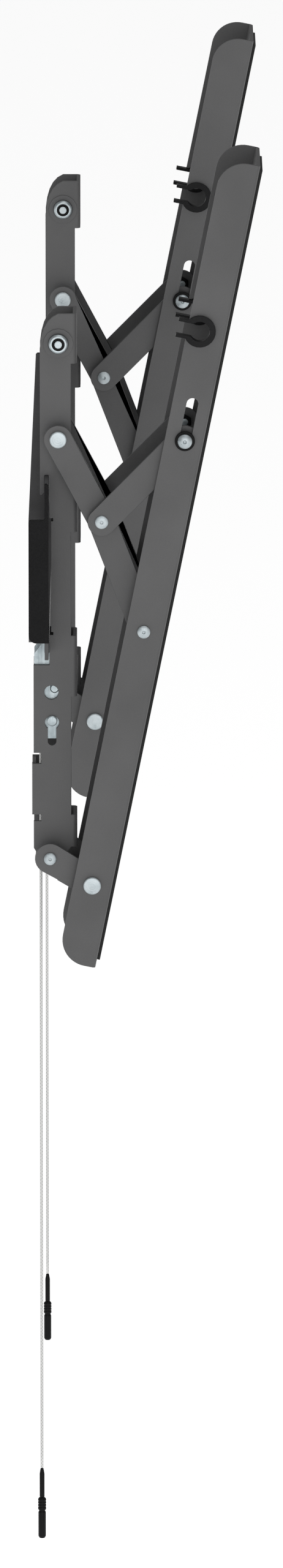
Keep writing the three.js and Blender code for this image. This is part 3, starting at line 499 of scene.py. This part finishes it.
def domed_head(radius, rise, seat):
    """Half outline of a riveted dome: an elliptical shoulder, then a shallow dimple at the middle."""
    turn = np.linspace(0.0, 1.25, 7)
    dome = [(radius * cos(t), seat + rise * 0.25 + rise * 0.75 * sin(t)) for t in turn]
    return [(radius, seat), *dome, (radius * 0.26, seat + rise * 0.94), (radius * 0.16, seat + rise * 0.7),
            (0.0, seat + rise * 0.62)]


def mirrored(half):
    """The half outline reflected to the near side, in running order."""
    return [(r, -h) for r, h in reversed(half)]


def pin(name, at, y, outline):
    """A turned pin about an axis along Y through a point of the bracket's side view."""
    return put(name, revolved(name, rounded(outline, 0.18, 3), "Y", (at[0], y, at[1])), pin_finish)




def cross_axle(axle, middle, head):
    """Whole outline of an axle: a thick middle up to the given reach, thinner ends, a head on each."""
    half = [(axle["shoulder"], middle), (axle["shaft"], middle), (axle["shaft"], head[0][1]), *head]
    return mirrored(half) + half


def shouldered_rivet(rivet, shoulder_end, head):
    """Half outline of a rivet: a flat inner head on the arm plate, a shoulder outside it, an outer head."""
    shaft, wide, inner = rivet["shaft"], rivet["head"], ARM_INNER - GAP
    return [(0.0, inner - rivet["rise"]), (wide, inner - rivet["rise"]), (wide, inner), (shaft, inner),
            (shaft, ARM_OUTER + GAP), (rivet["shoulder"], ARM_OUTER + GAP),
            (rivet["shoulder"], shoulder_end), (shaft, shoulder_end), (shaft, head[0][1]), *head]


for bracket, y in BRACKETS:
    made = []
    head = flat_head(UPPER_AXLE["head"], UPPER_AXLE["rise"], ARM_OUTER + GAP)
    made.append(("upper_axle", UPPER_PIVOT, cross_axle(UPPER_AXLE, ARM_INNER - GAP, head), "wall"))
    head = domed_head(LOWER_AXLE["head"], LOWER_AXLE["rise"], FOOT_OUTER + GAP)
    made.append(("lower_axle", LOWER_PIVOT, cross_axle(LOWER_AXLE, FOOT_INNER - GAP, head), "wall"))
    shaft, collar = FOOT_AXLE["shaft"], FOOT_AXLE["collar"]
    half = [(shaft, FOOT_OUTER + GAP), (collar, FOOT_OUTER + GAP), (collar, SCREEN_INNER - GAP),
            (shaft, SCREEN_INNER - GAP), (shaft, SCREEN_OUTER + GAP),
            *flat_head(FOOT_AXLE["head"], FOOT_AXLE["rise"], SCREEN_OUTER + GAP)]
    made.append(("foot_axle", FOOT_JOINT, mirrored(half) + half, "foot"))
    elbow = shouldered_rivet(ELBOW_RIVET, TILT_INNER - GAP,
                             domed_head(ELBOW_RIVET["head"], ELBOW_RIVET["rise"], ELBOW_SEAT))
    arm = shouldered_rivet(ARM_RIVET, SCREEN_INNER - GAP,
                           domed_head(ARM_RIVET["head"], ARM_RIVET["rise"], SCREEN_OUTER + GAP))
    bolt = [(0.0, NUT_FACE - BOLT_TIP), (SLOT_BOLT["shaft"], NUT_FACE - BOLT_TIP),
            (SLOT_BOLT["shaft"], BOLT_SEAT), *domed_head(SLOT_BOLT["head"], SLOT_BOLT["rise"], BOLT_SEAT)]
    for place, mirror in (("near", mirrored), ("far", list)):
        made.append((f"{place}_elbow_rivet", ELBOW, mirror(elbow), "arm"))
        made.append((f"{place}_arm_rivet", ARM_JOINT, mirror(arm), "screen"))
        made.append((f"{place}_slot_bolt", SLOT_PIN, mirror(bolt), "tilt_link"))
    for node, at, outline, body in made:
        piece = pin(f"{bracket}_{node}_turned", at, y, outline)
        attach(piece, f"{bracket}_{body}")
        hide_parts(f"{bracket}_{node}")

# ---------------------------------------------------------------- Top bolt and lock nut
# A bolt ties the wall bracket's cheeks together at the top. Its round lock nut has a black nylon ring
# that grips the thread, and the bolt's bright end shows in the middle.
TOP_BOLT = (15.4, 121.2)
ring_finish = moulded_plastic("ring_black", (0.006, 0.006, 0.006), 0.5, 3000.0)
for bracket, y in BRACKETS:
    seat = WALL_HALF + GAP
    thread = [(2.0 - 0.12 * (k % 2), -seat - 3.55 + 0.25 * k) for k in range(12)]
    bolt = pin(f"{bracket}_top_bolt_turned", TOP_BOLT, y,
               [(0.0, -seat - 3.6), (1.7, -seat - 3.6), *thread, (2.0, -seat + 0.1), (2.0, seat), (4.2, seat),
                (4.2, seat + 2.4), (3.4, seat + 3.0), (1.9, seat + 3.0), (1.7, seat + 1.8), (0.0, seat + 1.8)])
    nut = pin(f"{bracket}_lock_nut", TOP_BOLT, y,
              [(2.15, -seat), (2.15, -seat - 2.0), (3.3, -seat - 2.0), (3.3, -seat - 3.0), (4.3, -seat - 3.0),
               (5.0, -seat - 2.1), (5.0, -seat), (2.15, -seat)])
    ring = put(f"{bracket}_nut_ring", revolved(f"{bracket}_nut_ring", rounded(
        [(2.1, -seat - 2.05), (2.1, -seat - 2.8), (3.25, -seat - 2.8), (3.25, -seat - 2.05),
         (2.1, -seat - 2.05)],
        0.15, 3), "Y", (TOP_BOLT[0], y, TOP_BOLT[1])), ring_finish)
    for piece, slot in ((bolt, "zinc_plate"), (nut, "zinc_plate"), (ring, "black_plastic")):
        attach(piece, f"{bracket}_wall")
    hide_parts(f"{bracket}_top_bolt")

# ---------------------------------------------------------------- Slot bolt nuts
# A small black locking nut holds each slot bolt on the inside of its tilt plate. It has six flats, a
# chamfered outer end and a bore for the bolt.
NUT_BORE, NUT_NOSE, NUT_CORNER = 1.95, 2.9, 3.8
NUT_HEIGHT, NUT_CHAMFER = 2.4, 0.5
NUT_FLAT, NUT_EDGE = 3.35, 0.12  # middle to flat, and the softening of the corners


def hexagon_nut(name, at, y, outline, across, edge):
    """A ring of sides whose radius at angle a is the outline's, but never more than
    across / cos(distance from a to the nearest flat's middle), softened by the edge where flats meet."""
    mesh = revolved(name, rounded(outline, 0.15, 3), "Y", (at[0], y, at[1]), 72)
    spots = np.empty(len(mesh.vertices) * 3)
    mesh.vertices.foreach_get("co", spots)
    spots = spots.reshape(-1, 3) / MM
    radius = np.hypot(spots[:, 0] - at[0], spots[:, 2] - at[1])
    angle = np.arctan2(spots[:, 2] - at[1], spots[:, 0] - at[0])
    from_middle = (angle + pi / 6) % (pi / 3) - pi / 6
    limit = np.minimum(across / np.cos(from_middle), across / cos(pi / 6) - edge)
    scale = np.where(radius > limit, limit / np.maximum(radius, 1e-6), 1.0)
    spots[:, 0] = at[0] + (spots[:, 0] - at[0]) * scale
    spots[:, 2] = at[1] + (spots[:, 2] - at[1]) * scale
    mesh.vertices.foreach_set("co", (spots * MM).reshape(-1))
    return mesh


nylon_finish = moulded_plastic("nylon_black", (0.006, 0.006, 0.006), 0.5, 3000.0)
for bracket, y in BRACKETS:
    outer = NUT_FACE - NUT_HEIGHT
    half = [(NUT_BORE, NUT_FACE), (NUT_BORE, outer), (NUT_NOSE, outer), (NUT_CORNER, outer + NUT_CHAMFER),
            (NUT_CORNER, NUT_FACE), (NUT_BORE, NUT_FACE)]
    for place, mirror in (("near", mirrored), ("far", list)):
        name = f"{bracket}_{place}_slot_nut"
        mesh = hexagon_nut(name, SLOT_PIN, y, mirror(half), NUT_FLAT, NUT_EDGE)
        piece = put(name, mesh, nylon_finish)
        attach(piece, f"{bracket}_tilt_link")

# ---------------------------------------------------------------- Slot bushes
# Each tilt link's bolt runs in a black acetal bush whose flange slides on the outside of the
# screen bracket's cheek, with the hub in the slot.
for bracket, y in BRACKETS:
    face = SCREEN_OUTER + GAP
    half = [(2.1, TILT_OUTER + GAP), (2.75, TILT_OUTER + GAP), (2.75, face), (5.2, face), (5.2, face + 1.2),
            (2.1, face + 1.2), (2.1, TILT_OUTER + GAP)]
    for place, mirror in (("near", mirrored), ("far", list)):
        name = f"{bracket}_{place}_bush"
        mesh = revolved(name, rounded(mirror(half), 0.3, 4), "Y", (SLOT_PIN[0], y, SLOT_PIN[1]))
        piece = put(name, mesh, nylon_finish)
        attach(piece, f"{bracket}_tilt_link")
        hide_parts(f"{bracket}_{place}_slot_bush")

# ---------------------------------------------------------------- Cable clips
# A springy black nylon clip snaps into a notch in each cheek and holds the screen's cables. It is a
# split ring with a flange and two prongs that reach back.
clip_finish = moulded_plastic("clip_black", (0.007, 0.007, 0.0075), 0.38, 2200.0)
for bracket, y in BRACKETS:
    for place in ("near", "far"):
        piece = eased(f"{bracket}_{place}_clip", f"{bracket}_{place}_cable_clip", 0.35, clip_finish)
        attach(piece, f"{bracket}_screen")
        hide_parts(f"{bracket}_{place}_cable_clip")

# ---------------------------------------------------------------- Latches
# Between the wall bracket's cheeks slides a latch folded from zinc-plated sheet. Its hooks catch
# behind the rail's lower lip, and a bar fixed to the bracket holds the top of its spring.


def zinc_sheet():
    """Zinc-plated sheet: rolling lines drawn out along the strip, with a cool cloudy tint."""
    material, nodes, links, shader = finish_nodes("zinc_sheet", 0.36, 0.6)
    place = nodes.new("ShaderNodeTexCoord").outputs["Object"]
    stretch = nodes.new("ShaderNodeMapping")
    stretch.inputs["Scale"].default_value = (1.0, 1.0, 0.06)
    links.new(place, stretch.inputs["Vector"])
    lines = noise(nodes, links, stretch.outputs["Vector"], 1500.0, 3.0)
    cloud = noise(nodes, links, place, 150.0, 3.0)
    links.new(shades(nodes, links, cloud, 0.3, 0.7, ((0.26, 0.31, 0.33), (0.48, 0.54, 0.56))),
              shader.inputs["Base Color"])
    links.new(ranged(nodes, links, lines, 0.28, 0.5), shader.inputs["Roughness"])
    relief(nodes, links, shader, lines, 0.25, 0.00004)
    return material


latch_finish = zinc_sheet()
for bracket, y in BRACKETS:
    slide = eased(f"{bracket}_latch_sheet", f"{bracket}_latch_slide", 0.2, latch_finish)
    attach(slide, f"{bracket}_latch")
    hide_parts(f"{bracket}_latch_slide")
    anchor = eased(f"{bracket}_anchor_bar", f"{bracket}_spring_anchor", 0.2, latch_finish, 50.0)
    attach(anchor, f"{bracket}_wall")
    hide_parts(f"{bracket}_spring_anchor")

# ---------------------------------------------------------------- Latch springs
# A small extension spring of round wire draws each latch up into the rail's lip.
SPRING_X, SPRING_RADIUS, WIRE = 13.2, 2.6, 0.45
SPRING_LOW, SPRING_HIGH, SPRING_TURNS = -86.15, -64.65, 12


def drawn_wire():
    """Drawn spring wire: lines along the wire, dull grey and fairly bright."""
    material, nodes, links, shader = finish_nodes("drawn_wire", 0.35, 0.9)
    uv = nodes.new("ShaderNodeUVMap")
    uv.uv_map = "surface"
    stretch = nodes.new("ShaderNodeMapping")
    stretch.inputs["Scale"].default_value = (14.0, 60.0, 1.0)
    links.new(uv.outputs["UV"], stretch.inputs["Vector"])
    lines = noise(nodes, links, stretch.outputs["Vector"], 4.0, 3.0)
    links.new(shades(nodes, links, lines, 0.3, 0.7, ((0.2, 0.21, 0.22), (0.42, 0.44, 0.46))),
              shader.inputs["Base Color"])
    relief(nodes, links, shader, lines, 0.2, 0.00003)
    return material


wire_finish = drawn_wire()
for bracket, y in BRACKETS:
    t = np.linspace(0.0, 1.0, SPRING_TURNS * 20)
    turn = 2.0 * pi * SPRING_TURNS * t
    coil = np.stack([SPRING_X + SPRING_RADIUS * np.cos(turn), y + SPRING_RADIUS * np.sin(turn),
                     SPRING_LOW + (SPRING_HIGH - SPRING_LOW) * t], -1) * MM
    piece = put(f"{bracket}_coil", swept_rod(f"{bracket}_coil", coil, WIRE * MM, 10), wire_finish)
    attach(piece, f"{bracket}_latch")
    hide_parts(f"{bracket}_latch_spring")

# ---------------------------------------------------------------- Floor and light
# A plain pale floor lies below, and large soft panels light the mount from in front and above.
FLOOR_HEIGHT = -0.8
floor_mesh = bpy.data.meshes.new("floor")
floor_mesh.from_pydata([(-20, -20, FLOOR_HEIGHT), (20, -20, FLOOR_HEIGHT), (20, 20, FLOOR_HEIGHT),
                        (-20, 20, FLOOR_HEIGHT)], [], [(0, 1, 2, 3)])
floor_finish, *_, floor_shader = finish_nodes("pale_floor", 0.9)
floor_shader.inputs["Base Color"].default_value = (0.92, 0.92, 0.92, 1.0)
floor_shader.inputs["Emission Color"].default_value = (1.0, 1.0, 1.0, 1.0)
floor_shader.inputs["Emission Strength"].default_value = 0.7
floor = put("floor", floor_mesh, floor_finish)
floor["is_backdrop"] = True

world = bpy.data.worlds.new("studio")
world.use_nodes = True
world.node_tree.nodes["Background"].inputs["Color"].default_value = (1.0, 1.0, 1.0, 1.0)
world.node_tree.nodes["Background"].inputs["Strength"].default_value = 0.26
scene.world = world


def soft_panel(name, place, target, size, power):
    """A square area light at a place, turned to face the target."""
    light = bpy.data.objects.new(name, bpy.data.lights.new(name, "AREA"))
    light.data.shape = "SQUARE"
    light.data.size = size
    light.data.energy = power
    scene.collection.objects.link(light)
    light.location = place
    light.rotation_euler = (Vector(target) - Vector(place)).to_track_quat("-Z", "Y").to_euler()


soft_panel("front_panel", (0.3, -5.0, 0.6), (0.05, 0.0, 0.0), 2.6, 56.0)
soft_panel("top_panel", (0.6, -0.6, 3.2), (0.05, 0.0, 0.0), 2.4, 24.0)
scene.view_settings.view_transform = "Standard"

low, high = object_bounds()
